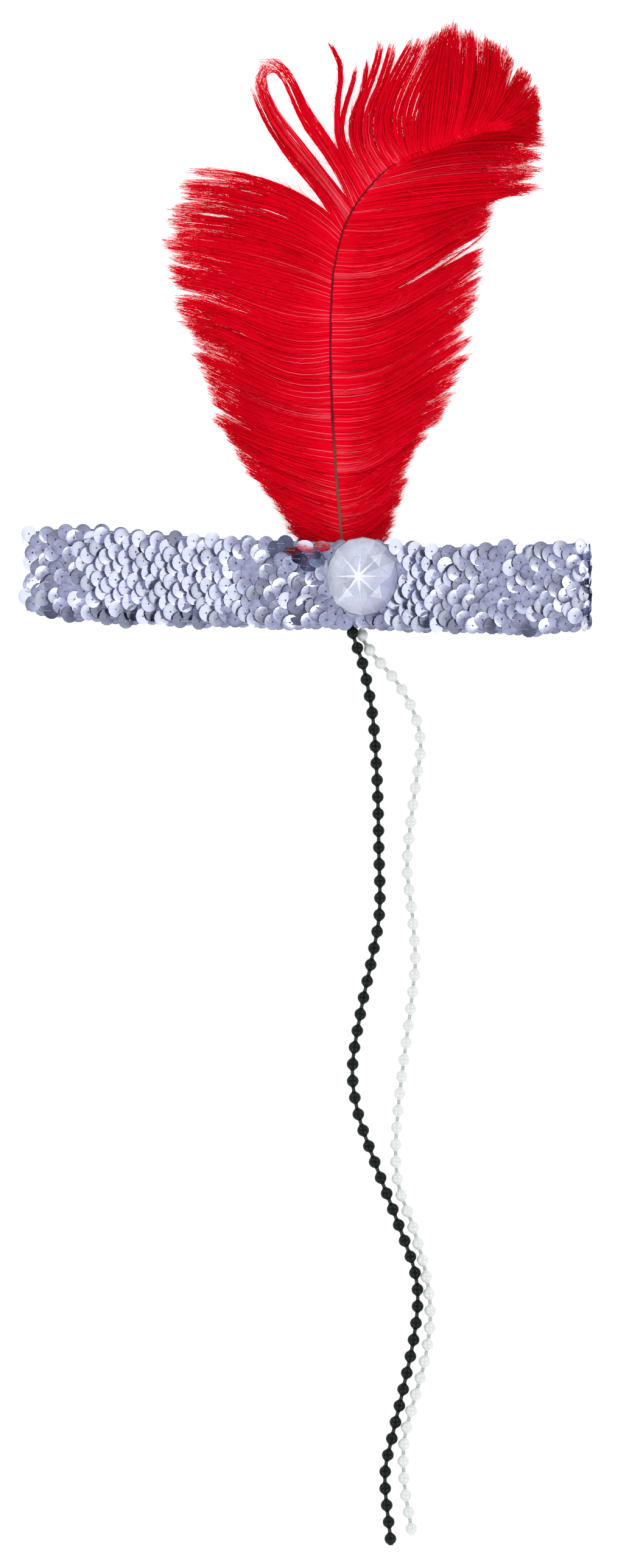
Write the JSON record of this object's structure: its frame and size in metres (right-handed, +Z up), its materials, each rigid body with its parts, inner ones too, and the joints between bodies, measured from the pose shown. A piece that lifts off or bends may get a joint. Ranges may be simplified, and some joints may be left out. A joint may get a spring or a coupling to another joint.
{
  "type": "flapper headband",
  "caption": "Stretch sequin headband lying flat, with a faceted stone on its front, a red ostrich plume tucked behind it and long strings of round beads.",
  "frame": {"origin": "on the surface that the headband lies on, under the middle of the band's back wall", "axes": "+Z up from that surface, +Y from the bead strings to the plume, +X to the right as the band's front is seen from above"},
  "size_m": [0.2318, 0.6233, 0.0221],
  "materials": {
    "sequin_band": "silver cup sequins on stretch net",
    "stone": "clear faceted acrylic on foil",
    "plume": "dyed ostrich barbs",
    "bead_string_black": "glossy black moulded beads",
    "bead_string_white": "pearl white moulded beads"
  },
  "bodies": {
    "root": {"sequin_band": "sequin_band", "stone": "stone", "plume": "plume", "bead_string_black": "bead_string_black", "bead_string_white": "bead_string_white"}
  },
  "joints": []
}
